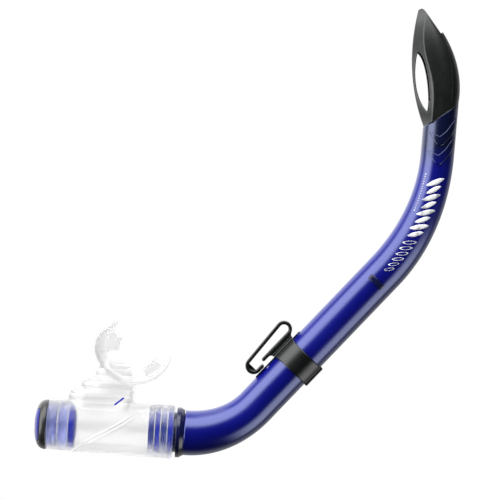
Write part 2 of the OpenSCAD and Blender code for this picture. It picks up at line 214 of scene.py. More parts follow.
def tube_plastic():
    """Deep blue translucent plastic with painted shade: its colour is mixed darker by height where the black
    baffle's skirt stands inside it.
    """
    material, tree, shader = new_material("tube_blue_plastic")
    vector = object_place(tree)
    body = ramp(tree, noise(tree, vector, 35, 3),
                [(0.3, (0.0024, 0.0036, 0.145)), (0.7, (0.0032, 0.0047, 0.175))])
    # painted shade: a near-black copy of the blue for the band over the baffle's skirt, mixed in by height
    # below
    baffle_shade = ramp(tree, noise(tree, vector, 35, 3),
                 [(0.3, (0.002, 0.004, 0.026)), (0.7, (0.003, 0.005, 0.034))])
    parts = add(tree, "ShaderNodeSeparateXYZ")
    tree.links.new(vector, parts.inputs["Vector"])
    mix = add(tree, "ShaderNodeMix", data_type="RGBA")
    tree.links.new(spread(tree, parts.outputs["Z"], 0, 1, (0.116, 0.132)), mix.inputs[0])
    tree.links.new(body, mix.inputs[6])
    tree.links.new(baffle_shade, mix.inputs[7])
    tree.links.new(mix.outputs[2], shader.inputs["Base Color"])
    tree.links.new(spread(tree, noise(tree, vector, 40), 0.2, 0.24), shader.inputs["Roughness"])
    shader.inputs["IOR"].default_value = 1.55
    shader.inputs["Specular IOR Level"].default_value = 1.0
    shader.inputs["Specular Tint"].default_value = (0.58, 0.64, 0.95, 1)
    bump(tree, shader, noise(tree, vector, 45, 2), 0.1, 0.0001)
    return material


def clear_silicone():
    """Clear silicone: it bends the light that passes through, with a faint warm haze and a wet gloss."""
    material, tree, shader = new_material("clear_silicone")
    vector = object_place(tree)
    haze = ramp(tree, noise(tree, vector, 40, 3), [(0.3, (0.68, 0.68, 0.685)), (0.7, (0.74, 0.738, 0.732))])
    tree.links.new(haze, shader.inputs["Base Color"])
    tree.links.new(spread(tree, noise(tree, vector, 60), 0.29, 0.35), shader.inputs["Roughness"])
    shader.inputs["Alpha"].default_value = 0.5
    shader.inputs["IOR"].default_value = 1.3
    shader.inputs["Transmission Weight"].default_value = 1.0
    bump(tree, shader, noise(tree, vector, 60, 2), 0.05, 0.0001)
    return material


def blue_glass(name, dark, light, through):
    """Transparent blue plastic: part of the light goes straight through and the rest shows its colour."""
    material, tree, shader = new_material(name)
    vector = object_place(tree)
    tree.links.new(ramp(tree, noise(tree, vector, 60, 4), [(0.3, dark), (0.7, light)]),
                   shader.inputs["Base Color"])
    tree.links.new(spread(tree, noise(tree, vector, 100), 0.08, 0.14), shader.inputs["Roughness"])
    shader.inputs["IOR"].default_value = 1.5
    shader.inputs["Transmission Weight"].default_value = through
    bump(tree, shader, noise(tree, vector, 120, 2), 0.15, 0.0001)
    return material


def print_ink():
    """Silver-white pad print with a soft metallic fade and a slightly dry edge."""
    material, tree, shader = new_material("silver_print")
    vector = object_place(tree)
    tree.links.new(ramp(tree, noise(tree, object_place(tree, (1, 1, 0.6)), 130, 2),
                        [(0.4, (0.36, 0.37, 0.4)), (0.56, (0.84, 0.85, 0.87))]), shader.inputs["Base Color"])
    tree.links.new(spread(tree, noise(tree, vector, 400), 0.3, 0.45), shader.inputs["Roughness"])
    bump(tree, shader, noise(tree, vector, 1200, 2), 0.3, 0.00002)
    return material


BLUE = tube_plastic()
NAVY = plastic("flange_navy_plastic", (0.004, 0.006, 0.035), (0.006, 0.009, 0.055), (0.14, 0.2))
RINGS = blue_glass("spigot_blue_plastic", (0.004, 0.016, 0.36), (0.008, 0.028, 0.5), 0.1)
# painted light: a paler, more see-through copy of the ring blue that stands in for the lit tops of alternate
# rings
LIT_COLLARS = blue_glass("collar_blue_painted_light", (0.04, 0.07, 0.35), (0.07, 0.1, 0.45), 0.4)
# painted highlight: a pale opaque plastic for thin rings that stand in for the bright lines at the gaps
# between blue rings
GAP_GLINT = plastic("painted_gap_highlight", (0.8, 0.8, 0.79), (0.88, 0.88, 0.87), (0.1, 0.2))
HOOD = plastic("hood_black_plastic", (0.0065, 0.0078, 0.0078), (0.0095, 0.011, 0.011), (0.28, 0.34),
               grain=1400.0)
KEEP = plastic("keeper_black_plastic", (0.003, 0.0042, 0.0045), (0.006, 0.0072, 0.0075), (0.27, 0.32),
               grain=1100.0, grain_depth=0.00001)
INNER = plastic("baffle_black_plastic", (0.004, 0.004, 0.004), (0.008, 0.008, 0.008), (0.45, 0.6))
BEZEL = plastic("bezel_black_plastic", (0.02, 0.02, 0.02), (0.03, 0.03, 0.03), (0.2, 0.3))
GUARD = plastic("guard_blue_plastic", (0.008, 0.011, 0.17), (0.013, 0.017, 0.24), (0.2, 0.28), specular=0.25)
HOUSING = blue_glass("housing_blue_plastic", (0.5, 0.54, 0.88), (0.6, 0.64, 0.95), 0.95)
SILICONE = clear_silicone()
INK = print_ink()


# Mesh tools

def show(name, points, faces, material, body, node=None):
    """A smooth mesh piece from row points in millimetres; it rides on a body and may stand for a CAD node."""
    mesh = bpy.data.meshes.new(name)
    corners = faces.tolist() if hasattr(faces, "tolist") else faces
    mesh.from_pydata((np.asarray(points) * MM).tolist(), [], corners)
    mesh.polygons.foreach_set("use_smooth", [True] * len(mesh.polygons))
    mesh.materials.append(material)
    thing = bpy.data.objects.new(name, mesh)
    bpy.context.scene.collection.objects.link(thing)
    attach(thing, body)
    if node:
        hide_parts(node)


def nets(field, low, high, step):
    """Closed quad mesh of a distance field's zero level, by surface nets."""
    low = np.array(low, float)
    count = np.ceil((np.array(high) - low) / step).astype(int) + 1
    x, y, z = (low[k] + step * np.arange(count[k]) for k in range(3))
    d = np.broadcast_to(field(x[:, None, None], y[None, :, None], z[None, None, :]), tuple(count))
    cells = count - 1
    total = np.zeros((*cells, 3))
    hits = np.zeros(tuple(cells))
    inside = d < 0

    def corner(grid, offset):
        return grid[tuple(slice(o, o + c) for o, c in zip(offset, cells))]

    for axis in range(3):
        b, c = (axis + 1) % 3, (axis + 2) % 3
        for p in (0, 1):
            for q in (0, 1):
                start = [0, 0, 0]
                start[b], start[c] = p, q
                stop = list(start)
                stop[axis] = 1
                d0, d1 = corner(d, start), corner(d, stop)
                cross = corner(inside, start) != corner(inside, stop)
                total[..., axis] += np.where(cross, d0 / np.where(cross, d0 - d1, 1), 0)
                total[..., b] += p * cross
                total[..., c] += q * cross
                hits += cross
    used = hits > 0
    index = np.full(tuple(cells), -1)
    index[used] = np.arange(used.sum())
    points = low + step * (np.argwhere(used) + total[used] / hits[used][:, None])
    faces = []
    for axis in range(3):
        b, c = (axis + 1) % 3, (axis + 2) % 3
        first = tuple(slice(0 if k == axis else 1, cells[k]) for k in range(3))
        second = tuple(slice(1, cells[k] + (k == axis)) for k in range(3))
        turn = inside[second]
        cross = np.argwhere(inside[first] != turn)
        base = cross + [0 if k == axis else 1 for k in range(3)]
        quad = []
        for step_b, step_c in ((-1, -1), (0, -1), (0, 0), (-1, 0)):
            cell = base.copy()
            cell[:, b] += step_b
            cell[:, c] += step_c
            quad.append(index[tuple(cell.T)])
        quad = np.stack(quad, 1)
        back = turn[tuple(cross.T)]
        quad[back] = quad[back][:, ::-1]
        faces.append(quad)
    return points, np.concatenate(faces)


def relaxed(points, faces, rounds):
    """Mesh points moved halfway to the mean of their neighbours, a few times over."""
    start = faces.ravel()
    stop = np.roll(faces, -1, 1).ravel()
    size = len(points)
    count = np.bincount(start, minlength=size) + np.bincount(stop, minlength=size)
    for _ in range(rounds):
        total = [np.bincount(start, points[stop, k], size) + np.bincount(stop, points[start, k], size)
                 for k in range(3)]
        points = 0.5 * points + 0.5 * np.stack(total, 1) / count[:, None]
    return points


def both(a, b, k):
    """Where two fields are both negative, with the edge rounded by about k."""
    h = np.maximum(k - np.abs(a - b), 0) / k
    return np.maximum(a, b) + h * h * k / 4


def either(a, b, k):
    return -both(-a, -b, k)


def outline_distance(x, z, corners):
    """Signed distance from an outline in [x, z], negative inside."""
    corners = np.asarray(corners, float)
    x, z = np.broadcast_arrays(x, z)
    best = np.full(x.shape, 1e9)
    inside = np.zeros(x.shape, bool)
    for (ax, az), (bx, bz) in zip(corners, np.roll(corners, -1, 0)):
        ex, ez = bx - ax, bz - az
        t = np.clip(((x - ax) * ex + (z - az) * ez) / (ex * ex + ez * ez + 1e-12), 0, 1)
        best = np.minimum(best, np.hypot(x - ax - t * ex, z - az - t * ez))
        if ez != 0:
            inside ^= ((az > z) != (bz > z)) & (x < ex * (z - az) / ez + ax)
    return np.where(inside, -best, best)


def segment_distance(x, z, a, b):
    ex, ez = b[0] - a[0], b[1] - a[1]
    t = np.clip(((x - a[0]) * ex + (z - a[1]) * ez) / (ex * ex + ez * ez), 0, 1)
    return np.hypot(x - a[0] - t * ex, z - a[1] - t * ez)


def line_distance(x, z, points):
    return np.minimum.reduce([segment_distance(x, z, a, b) for a, b in zip(points[:-1], points[1:])])


def slab(value, low, high):
    return np.abs(value - (low + high) / 2) - (high - low) / 2


def cubic(c, steps):
    t = np.linspace(0, 1, steps + 1)[:, None]
    c = np.array(c, float)
    return (1 - t) ** 3 * c[0] + 3 * t * (1 - t) ** 2 * c[1] + 3 * t * t * (1 - t) * c[2] + t ** 3 * c[3]


def rounded(corners, radius, steps=4):
    """Outline with each corner rounded."""
    corners = np.array(corners, float)
    out = []
    for i, p in enumerate(corners):
        a, b = corners[i - 1] - p, corners[(i + 1) % len(corners)] - p
        la, lb = np.linalg.norm(a), np.linalg.norm(b)
        half = max(math.acos(np.clip(a @ b / (la * lb), -1, 1)) / 2, 0.05)
        cut = min(radius / math.tan(half), 0.45 * la, 0.45 * lb)
        start, stop = p + a / la * cut, p + b / lb * cut
        for t in np.linspace(0, 1, steps + 1):
            out.append((1 - t) ** 2 * start + 2 * t * (1 - t) * p + t * t * stop)
    return np.array(out)


def lathe(profile, place, sides=SIDES):
    """Ring turned about local x from a closed profile in [x, radius]."""
    n = len(profile)
    turns = np.linspace(0, 2 * math.pi, sides, endpoint=False)
    local = [(x, r * math.sin(q), r * math.cos(q)) for q in turns for x, r in profile]
    faces = [(j * n + i, j * n + (i + 1) % n, (j + 1) % sides * n + (i + 1) % n, (j + 1) % sides * n + i)
             for j in range(sides) for i in range(n)]
    return place.row(local), faces


# Tube

def tube_mesh():
    """Hollow J with the slanted seam at its top; both ends have a small rounded lip."""
    stations = np.concatenate([np.linspace(-2.0, LOW_ARC, 42, endpoint=False),
                               np.linspace(LOW_ARC, BEND_AT, 30, endpoint=False),
                               np.linspace(BEND_AT, TOP_AT, 50, endpoint=False)])
    top_rows = 16
    turns = np.linspace(0, 2 * math.pi, SIDES, endpoint=False)
    lip = 0.35

    def layer(depth):
        rows = []
        for s in stations:
            radius = on_path(s)[2] - depth
            rows.append([skin(s, q, 0, radius) for q in turns])
        for f in np.linspace(0, 1, top_rows):
            row = []
            for q in turns:
                r = TOP_R - depth
                end = TOP_LEN - r * math.cos(q) * SEAM_SLOPE
                row.append(skin(TOP_AT + f * end, q, 0, r))
            rows.append(row)
        return rows

    outer, inner = layer(0), layer(WALL)
    first, last = layer(lip)[0], layer(lip)[-1]
    rows = outer + [last] + inner[::-1] + [first]
    n = len(rows)
    points = [p for row in rows for p in row]
    faces = [(i * SIDES + j, i * SIDES + (j + 1) % SIDES,
              (i + 1) % n * SIDES + (j + 1) % SIDES, (i + 1) % n * SIDES + j)
             for i in range(n) for j in range(SIDES)]
    return points, faces


points, faces = tube_mesh()
show("tube_shell", points, faces, BLUE, "tube_body", "tube")

CHEVRON = [(-7.4, -11.6), (-5.6, -12.1), (-0.3, -14.6), (3.8, -10.6), (8.2, -3.6), (10.3, -0.4),
           (10.3, -7.2), (7.4, -13.4), (2.6, -19.9), (0.6, -20.9), (-1.4, -20.2), (-4.2, -17.2)]


def chevron(drop):
    outline = rounded([(x, z - drop) for x, z in CHEVRON], 1.2)

    def field(x, y, z):
        raised = np.abs(np.hypot(x, y) - TOP_R) - 0.6
        return both(both(raised, outline_distance(x, z, outline), 0.4), y + 1, 0.3)

    return nets(field, (-12.2, -12.4, -22.5 - drop), (12.2, 0.2, 1.2 - drop), 0.3)


for name, drop in (("tube_chevron_upper", 0.0), ("tube_chevron_lower", 12.3)):
    points, faces = chevron(drop)
    show(name, TOP.row(points), faces, BLUE, "tube_body")


def stop_bar(x, y, z):
    around = TUBE_R * np.arcsin(np.clip(z / TUBE_R, -1, 1))
    plan = np.hypot(np.maximum(np.abs(x - 73.2) - 1.0, 0), np.maximum(np.abs(around) - 5.0, 0)) - 1.0
    return both(both(np.abs(np.hypot(y, z) - TUBE_R) - 0.85, plan, 0.6), y + 2, 0.3)


points, faces = nets(stop_bar, (70.2, -14.6, -7.6), (76.2, -1.4, 7.6), 0.25)
show("tube_stop_bar", KEEPER.row(points), faces, NAVY, "tube_body")


def rail(x, y, z):
    return both(both(slab(x, -26.9, 14.9), slab(y, -2, 2), 0.5), slab(z, TUBE_R - 0.8, TUBE_R + 0.6), 0.4)


points, faces = nets(rail, (-28, -3, 11.5), (16, 3, 14.5), 0.3)
show("tube_keeper_rail", KEEPER.row(points), faces, NAVY, "tube_body")


# Abstract silver print on the near side of the upper bend: leaves, leaf outlines and a dotted line

def print_slab(rows, closed):
    """Thin closed slab on the tube from rows of [distance down the bend, distance across]."""
    n, m = len(rows), len(rows[0])
    points = []
    for lift in (0.07, -0.25):
        for row in rows:
            for down, across in row:
                s = TOP_AT - down
                points.append(skin(s, math.pi / 2 - across / on_path(s)[2], lift))
    wrap = n if closed else n - 1
    at = lambda layer, i, j: layer * n * m + i % n * m + j
    faces = []
    for i in range(wrap):
        for j in range(m - 1):
            faces.append((at(0, i, j), at(0, i, j + 1), at(0, i + 1, j + 1), at(0, i + 1, j)))
            faces.append((at(1, i, j), at(1, i + 1, j), at(1, i + 1, j + 1), at(1, i, j + 1)))
        faces.append((at(0, i, 0), at(0, i + 1, 0), at(1, i + 1, 0), at(1, i, 0)))
        faces.append((at(0, i, m - 1), at(1, i, m - 1), at(1, i + 1, m - 1), at(0, i + 1, m - 1)))
    if not closed:
        for i, order in ((0, 1), (n - 1, -1)):
            for j in range(m - 1):
                quad = (at(0, i, j), at(1, i, j), at(1, i, j + 1), at(0, i, j + 1))
                faces.append(quad[::order])
    return points, faces


def print_piece(name, shapes):
    points, faces = [], []
    for rows, closed in shapes:
        p, f = print_slab(rows, closed)
        faces += [tuple(i + len(points) for i in face) for face in f]
        points += p
    show(name, points, faces, INK, "tube_body")


def leaf(down, reach, half):
    rows = []
    for t in np.linspace(-1, 1, 25):
        width = half * (1 - abs(t) ** 2.2) + 0.08
        middle = down + 3.4 * t
        rows.append([(middle + width * e, -1.0 + reach * t) for e in (-1, -0.33, 0.33, 1)])
    return rows, False


def leaf_line(down, reach, half):
    """Thin outline of a slanted leaf."""
    rows = []
    for q in np.linspace(0, 2 * math.pi, 40, endpoint=False):
        t, side = math.cos(q), math.sin(q)
        width = half * abs(side) ** 1.3 * math.copysign(1, side)
        rows.append([(down + 2.2 * t * e + width * e, -0.6 + reach * t * e) for e in (0.86, 1.14)])
    return rows, True


def dot(down):
    return [[(down + a * 0.4, 6.9 + b * 0.45) for b in (-1, 0, 1)] for a in (-1, 0, 1)], False


print_piece("print_leaves", [leaf(18 + 5.2 * i, 5.6 - 1.3 * (i % 2), 1.9) for i in range(8)])
print_piece("print_leaf_lines", [leaf_line(61 + 4.4 * i, 3.6 - 0.3 * i, 1.2) for i in range(6)])
print_piece("print_dots", [dot(14 + 1.75 * i) for i in range(16)])


# Navy ringed spigot and flange

FLANGE = [(4.5, 12.65), (-2.15, 12.65), (-2.15, 15.0), (-4.5, 16.2), (-4.6, 16.5), (-7.1, 16.5),
          (-7.1, 13.15), (-9.3, 13.15), (-9.3, 11.2), (4.5, 11.2)]


def hoop(near, far, inner, outer):
    """Outline of one ring about the barrel, between two distances from the tube's end."""
    return rounded([(-near, inner), (-near, outer), (-far, outer), (-far, inner)], 0.3)


def hoops(name, spans, inner, outer, material, body):
    points, faces = [], []
    for near, far in spans:
        p, f = lathe(hoop(near, far, inner, outer), BARREL)
        faces += [tuple(i + len(points) for i in face) for face in f]
        points += list(p)
    show(name, points, faces, material, body)


points, faces = lathe(rounded(FLANGE, 0.35), BARREL)
show("swivel_flange", points, faces, NAVY, "tube_body", "swivel_spigot")
hoops("swivel_core", [(8.8, 24.6)], 11.25, 13.0, RINGS, "tube_body")
hoops("swivel_rings", [(9, 12.5), (17.7, 20.8)], 12.8, 13.75, RINGS, "tube_body")
# the collars take the paler copy of the blue: painted light between the saturated rings
hoops("swivel_collars", [(13.2, 17), (21.5, 25.3)], 12.8, 13.8, LIT_COLLARS, "tube_body")
# thin pale rings between the blue rings: painted highlight for the bright gap lines
hoops("barrel_gap_highlights", [(12.65, 13.05), (17.15, 17.55), (20.95, 21.35)], 13.15, 13.98, GAP_GLINT,
      "mouthpiece_body")


# Splash-guard hood

FRONT = cubic([(-20.7, 68), (-25.2, 42.2), (-22, 15.4), (-10.8, -8.4)], 24)
BACK = cubic([(11.0, 9.4), (12.5, 25.4), (6.3, 42.6), (-3.6, 54.9)], 24)
FOOT = [(-10.95, -11.5), (10.95, 6.5)]
TIP = [(-5, 53.4), (-16.9, 68.1), (-18.6, 69.1)]
CREASE = cubic([(-15.4, 66.4), (-20.6, 33.4), (-5.4, 34.3), (-6.4, 1.6)], 24)
WINDOW = np.concatenate([cubic([(-19, 39.6), (-20.7, 28), (-18.4, 9.7), (-9.3, 1.2)], 20)[:-1],
                         cubic([(-9.3, 1.2), (-6.4, 6.2), (-12.1, 38.6), (-19, 39.6)], 20)[:-1]])
COVER = [(-4.3, 56), (-1.6, 49.1), (3.2, 34), (5.2, 18), (5.4, -5), (30, -5), (30, 60)]
HOOD_HALF = cubic([(-12, 11.05), (25, 12.1), (48, 13), (69.5, 2.6)], 40)
HOOD_WALL, SPINE = 1.6, 1.4


def hood_shell(x, y, z):
    side = outline_distance(x[:, 0], z[0], np.concatenate([FRONT, FOOT, BACK, TIP]))[:, None, :]
    level = z[0, 0]
    front = np.interp(level, FRONT[::-1, 1], FRONT[::-1, 0])[None, None, :]
    crease = np.interp(level, CREASE[::-1, 1], CREASE[::-1, 0])[None, None, :]
    back_z = np.concatenate([BACK[:, 1], [69.4]])
    back_x = np.concatenate([BACK[:, 0], [-17.5]])
    back = np.interp(level, back_z, back_x)[None, None, :]
    half = np.interp(level, HOOD_HALF[:, 0], HOOD_HALF[:, 1])[None, None, :]
    crease = np.maximum(crease, front + 3)
    middle = crease + 0.3 * (back - crease)
    wide = np.abs(y)

    def solid(inset):
        w, b = half - inset, np.maximum(back - middle - inset, 0.5)
        run_x, run_y = crease - front, w - SPINE
        size = np.hypot(run_x, run_y)
        bevel = (-(x - front) * run_y + (wide - SPINE) * run_x) / size + inset * 0.6
        round_x = np.maximum(x - middle, 0) / b
        swell = (round_x ** 2.3 + (wide / w) ** 2.3) ** (1 / 2.3)
        edge = 0.5 if inset == 0 else 0.2
        return both(both(bevel, (swell - 1) * np.minimum(w, b + 3), edge), side + inset, 0.5)

    shell = both(solid(0.0), -solid(HOOD_WALL), 0.2)
    height = (z - x * SEAM_SLOPE) * math.cos(math.atan(SEAM_SLOPE))
    shell = both(shell, -0.6 - height, 0.3)
    window = outline_distance(x[:, 0], z[0], WINDOW)[:, None, :]
    return both(shell, -window, 0.9)


def cover_side(x, z):
    return outline_distance(x[:, 0], z[0], COVER)[:, None, :]


def hood_front(x, y, z):
    gap = 0.02 + 0.3 * smooth_step((z - 47) / 3)
    return both(hood_shell(x, y, z), gap - cover_side(x, z), 0.12)


def hood_cover(x, y, z):
    return both(hood_shell(x, y, z), cover_side(x, z), 0.12)


for name, field, low, high in (("hood_front", hood_front, (-24.2, -12.5, -12), (8.2, 12.5, 70.6)),
                               ("hood_cover", hood_cover, (-7.2, -12.5, -8), (13.2, 12.5, 57.5))):
    points, faces = nets(field, low, high, 0.33)
    show(name + "_shell", TOP.row(points), faces, HOOD, "tube_body", name)


# Snorkel keeper

def keeper(x, y, z):
    half, tilt = 1.15, math.radians(4)
    turn = np.array([math.cos(tilt), math.sin(tilt)])
    lift = np.array([-turn[1], turn[0]])
    loop_r, curl_r, strip_len = 4.2, 4.35, 31.4
    loop_at = np.array([9, 21.9])
    curl_at = loop_at + loop_r * lift - strip_len * turn - curl_r * lift
    arc = lambda at, r, a, b: [at + r * np.array([math.cos(q), math.sin(q)]) for q in np.linspace(a, b, 24)]
    line = [(-14.7, 17.7), *arc(loop_at, loop_r, -math.pi / 2, math.pi / 2 + tilt),
            *arc(curl_at, curl_r, math.pi / 2 + tilt, 1.5 * math.pi), (curl_at[0] + 3.7, curl_at[1] - curl_r)]
    plan = line_distance(x[:, 0], z[0], line)[:, None, :] - half
    hook = both(plan, np.abs(y) - 6, 0.7)
    web = both(np.hypot(x - curl_at[0], z - curl_at[1]) - curl_r, np.abs(y) - 1.5, 0.3)
    web = both(web, x - curl_at[0] + 1, 0.3)
    reach = np.hypot(y, z)
    flared = 7.5 + 0.03 * np.maximum(z - 8, 0) ** 2
    band = both(both(reach - 15.4, np.abs(x) - flared, 0.7), -14.7 - z, 0.8)
    block = both(both(slab(z, -14.7, -9.6), np.abs(y) - 8.4, 1.2), np.abs(x) - 7.9, 0.8)
    foot = both(both(slab(z, 11, 17.9), np.abs(y) - 6, 0.7), np.abs(x) - flared, 0.7)
    foot = both(foot, -both(slab(z, 15.7, 16.3), 5.2 - np.abs(y), 0.2), 0.3)
    body = either(either(hook, foot, 1.4), either(band, block, 0.3), 0.5)
    body = np.minimum(body, web)
    body = both(body, 13.1 - reach, 0.25)
    return both(body, -both(np.abs(y) - 3, slab(z, 0, 14), 0.2), 0.2)


points, faces = nets(keeper, (-28.4, -16.2, -16.8), (15.6, 16.2, 28.6), 0.36)
show("keeper_moulding", KEEPER.row(points), faces, KEEP, "keeper_body", "keeper")


# Clear silicone mouthpiece

ARCH = np.array([-35.7, 54.0])
MOUTH = math.radians(59.5)
BEAD = cubic([(-73.5, -17.2), (-62, -3.5), (-45, -1.5), (-26.0, 18.3)], 16)


def mouthpiece(x, y, z):
    reach = np.hypot(y, z)
    share = np.clip((x + 92.3) / 83.5, 0, 1)
    radius = 16.1 + 1.55 * share
    radius = radius + 0.35 * np.exp(-((x + 82.5) / 1.6) ** 2) + 0.1 * np.exp(-((x + 11.5) / 1.4) ** 2)
    bead = line_distance(x[:, 0], z[0], BEAD)[:, None, :]
    near = smooth_step(-y / 1.5)
    ridge = np.exp(-((bead - 1.0) / 0.5) ** 2) - 0.4 * np.exp(-(bead / 0.5) ** 2)
    radius = radius + 0.8 * near * ridge * (radius < 17.2)
    barrel = both(reach - radius, slab(x, -92.25, -8.85), 0.9)

    def tier(cx, a, b, low, high, lean=0.0, taper=0.0):
        middle = cx + lean * (z - low)
        shrink = 1 - taper * (z - low)
        oval = np.sqrt(((x - middle) / a) ** 2 + (y / b) ** 2)
        groove = 0.6 * np.maximum(np.cos(z * 2 * math.pi / 4.4), 0) ** 6
        return both((oval - shrink) * min(a, b) + groove, slab(z, low, high), 3.4)

    neck = either(tier(-58.5, 22.6, 13.0, 4, 24.5, 0.02, 0.004),
                  tier(-55.4, 18.6, 11.6, 18, 31.6, 0.12, 0.006), 1.6)
    neck = either(neck, tier(-51.5, 15.2, 10.2, 26, 43.5, 0.22, 0.012), 2.6)
    body = either(barrel, neck, 2.4)

    px, pz = x - ARCH[0], z - ARCH[1]
    rho = np.hypot(px, pz)
    # angle off the middle of the arch, positive towards the tube's side
    off = np.arctan2(pz, px) - (MOUTH + math.pi)
    off = (off + math.pi) % (2 * math.pi) - math.pi
    deg = np.degrees(off)
    flare = 0.8 + 5.6 * np.exp(-((deg + 66) / np.where(deg < -66, 30, 45)) ** 2)
    height = 11 * np.sqrt(np.clip(1 - (np.abs(deg) / 118) ** 3, 0.02, 1))
    wall = 21.6 + flare * np.clip(np.abs(y) / 11, 0, 1) ** 1.5
    thick = 1.4 - 0.35 * smooth_step((np.abs(deg) - 40) / 70)
    span = (np.abs(off) - math.radians(108)) * rho
    flange = both(both(np.abs(rho - wall) - thick, np.abs(y) - height, 0.8), span, 1.0)
    tabs = both(both(slab(rho, 12.6, 21.4), slab(np.abs(deg), 50, 92) * 0.3, 1.6), np.abs(y) - 1.5, 0.8)
    lugs = both(both(slab(rho, 12.4, 14.6), slab(np.abs(deg), 50, 92) * 0.25, 1.2), np.abs(y) - 4.4, 0.8)
    bite = either(either(tabs, lugs, 1.0), flange, 1.2)
    body = either(body, bite, 2.0)

    bore = both(reach - 13.55, slab(x, -95, -7), 0.2)
    grip = both(reach - 13.95, slab(x, -25.8, -6), 0.2)
    throat = (np.sqrt(((x + 57 - 0.2 * (z - 4)) / 15.5) ** 2 + (y / 8.6) ** 2) - 1) * 8.6
    throat = both(throat, slab(z, 2, 27), 1.5)
    along = px * math.cos(MOUTH) + pz * math.sin(MOUTH)
    across = -px * math.sin(MOUTH) + pz * math.cos(MOUTH)
    mouth = both((np.sqrt((across / 9.5) ** 2 + (y / 6.2) ** 2) - 1) * 6.2, slab(along, -36, -8), 1.5)
    hollow = either(np.minimum(bore, grip), either(throat, mouth, 3.0), 1.0)
    return both(body, -hollow, 0.6)


points, faces = nets(mouthpiece, (-94, -18.6, -18.9), (-7.4, 18.6, 74.5), 0.45)
show("mouthpiece_silicone", BARREL.row(relaxed(points, faces, 8)), faces, SILICONE,
     "mouthpiece_body", "mouthpiece")


def neck_mark(x, y, z):
    """Short blue mark moulded into the near side of the neck."""
    return both(segment_distance(x, z, (-48.1, 16.4), (-42.9, 20.9)) - 0.6, slab(y, -11.0, -9.4), 0.3)


points, faces = nets(neck_mark, (-49.6, -11.8, 15.1), (-41.4, -8.8, 22.3), 0.25)
show("neck_mark", BARREL.row(points), faces, RINGS, "mouthpiece_body")


# Purge: domed black ring, blue guard across its front, and the ringed housing

DOME_AT, DOME_R, DOME_DEPTH = -92.4, 16.35, 8.15
DOME_BORE_R, DOME_BORE_DEPTH = 14.45, 6.65
BAND_Z, BAND_AT = 10.6, 4.3
POWER = 2.6


def dome(x, y, z, radius, depth):
    ahead = np.maximum(DOME_AT - x, 0) / depth
    size = (ahead ** POWER + (np.hypot(y, z) / radius) ** POWER) ** (1 / POWER)
    return both((size - 1) * depth, x - DOME_AT, 0.3)


def dome_shell(x, y, z):
    ahead = np.maximum(DOME_AT - x, 0) / DOME_BORE_DEPTH
    size = (ahead ** POWER + (np.hypot(y, z) / DOME_BORE_R) ** POWER) ** (1 / POWER)
    return both(dome(x, y, z, DOME_R, DOME_DEPTH), -(size - 1) * DOME_BORE_DEPTH, 0.2)


def front_band(x, z, gap):
    return both(x - (DOME_AT - BAND_AT - gap), np.abs(z) - (BAND_Z - gap), 0.3)


def bezel(x, y, z):
    ring = both(dome_shell(x, y, z), -front_band(x, z, 0.0), 0.3)
    return both(ring, np.minimum(DOME_BORE_R - np.hypot(y, z), x + 94.3), 0.2)


def guard(x, y, z):
    reach = np.hypot(y, z)
    shell = both(dome_shell(x, y, z), front_band(x, z, 0.1), 0.35)
    around = (np.arctan2(z, y) / (math.pi / 4)) % 1 - 0.5
    slot = both(np.abs(around) * (math.pi / 4) * reach - 1.05, slab(reach, 3.4, 9), 0.5)
    shell = both(shell, -slot, 0.4)
    legs = both(both(slab(reach, 9.5, 10.4), slab(x, DOME_AT - 5.9, DOME_AT + 0.2), 0.2), np.abs(z) - 5, 0.2)
    return np.minimum(shell, legs)


def housing(x, y, z):
    reach = np.hypot(y, z)
    grooves = ((77.7, 78.5), (84.6, 85.4))
    skin_r = 13.5 - 0.55 * sum(both(slab(x, -b, -a), x * 0 - 9, 0.2) < 0 for a, b in grooves)
    body = both(reach - skin_r, slab(x, -92.3, -74), 0.6)
    body = np.minimum(body, both(reach - 14.35, slab(x, -94.1, -92.3), 0.3))
    body = both(body, 11.7 - reach, 0.3)
    seat = both(slab(x, -89, -86.6), reach - 12, 0.3)
    open_seat = both(seat, 9.2 - reach, 0.4)
    spoke = np.minimum(np.abs(y), np.abs(z)) - 0.8
    open_seat = np.minimum(open_seat, both(both(seat, spoke, 0.4), reach - 11.9, 0.2))
    hub = both(both(slab(x, -89, -86.6), reach - 2.8, 0.4), 1.15 - reach, 0.2)
    return both(np.minimum(np.minimum(body, open_seat), hub), 1.15 - reach, 0.1)


def housing_end(x, y, z):
    return both(housing(x, y, z), -77.9 - x, 0.2)


def housing_front(x, y, z):
    return both(housing(x, y, z), x + 77.9, 0.2)


for name, field, material, slot, low, high, step in (
        ("purge_bezel", bezel, BEZEL, "bezel_black", (-101.4, -17, -17), (-91.8, 17, 17), 0.32),
        ("purge_cover", guard, GUARD, "purge_blue", (-101.4, -15.4, -11.6), (-91.4, 15.4, 11.6), 0.28),
        ("purge_housing", housing_front, HOUSING, "purge_blue", (-94.9, -15, -15), (-77.2, 15, 15), 0.32)):
    points, faces = nets(field, low, high, step)
    show(name + "_moulding", BARREL.row(points), faces, material, "mouthpiece_body", name)
points, faces = nets(housing_end, (-78.6, -15, -15), (-73.2, 15, 15), 0.32)
show("purge_housing_end", BARREL.row(points), faces, RINGS, "mouthpiece_body")
# thin pale rings in the housing's grooves: painted highlight for the bright gap lines
hoops("housing_gap_highlights", [(77.85, 78.35), (84.75, 85.25)], 13.05, 13.56, GAP_GLINT, "mouthpiece_body")

for node, material in (("hood_baffle", INNER), ("purge_valve", SILICONE)):
    frame["nodes"][node].data.materials.clear()
    frame["nodes"][node].data.materials.append(material)


# Studio: pale floor, soft lights and the camera

centre = (cad_low + cad_high) / 2
KEY_LIGHT, LOW_LIGHT, REAR_LIGHT = 4.7, 3.2, 1.1
FLOOR_DROP, CAMERA_AWAY, CAMERA_LENS = 0.34, 1.64, 179


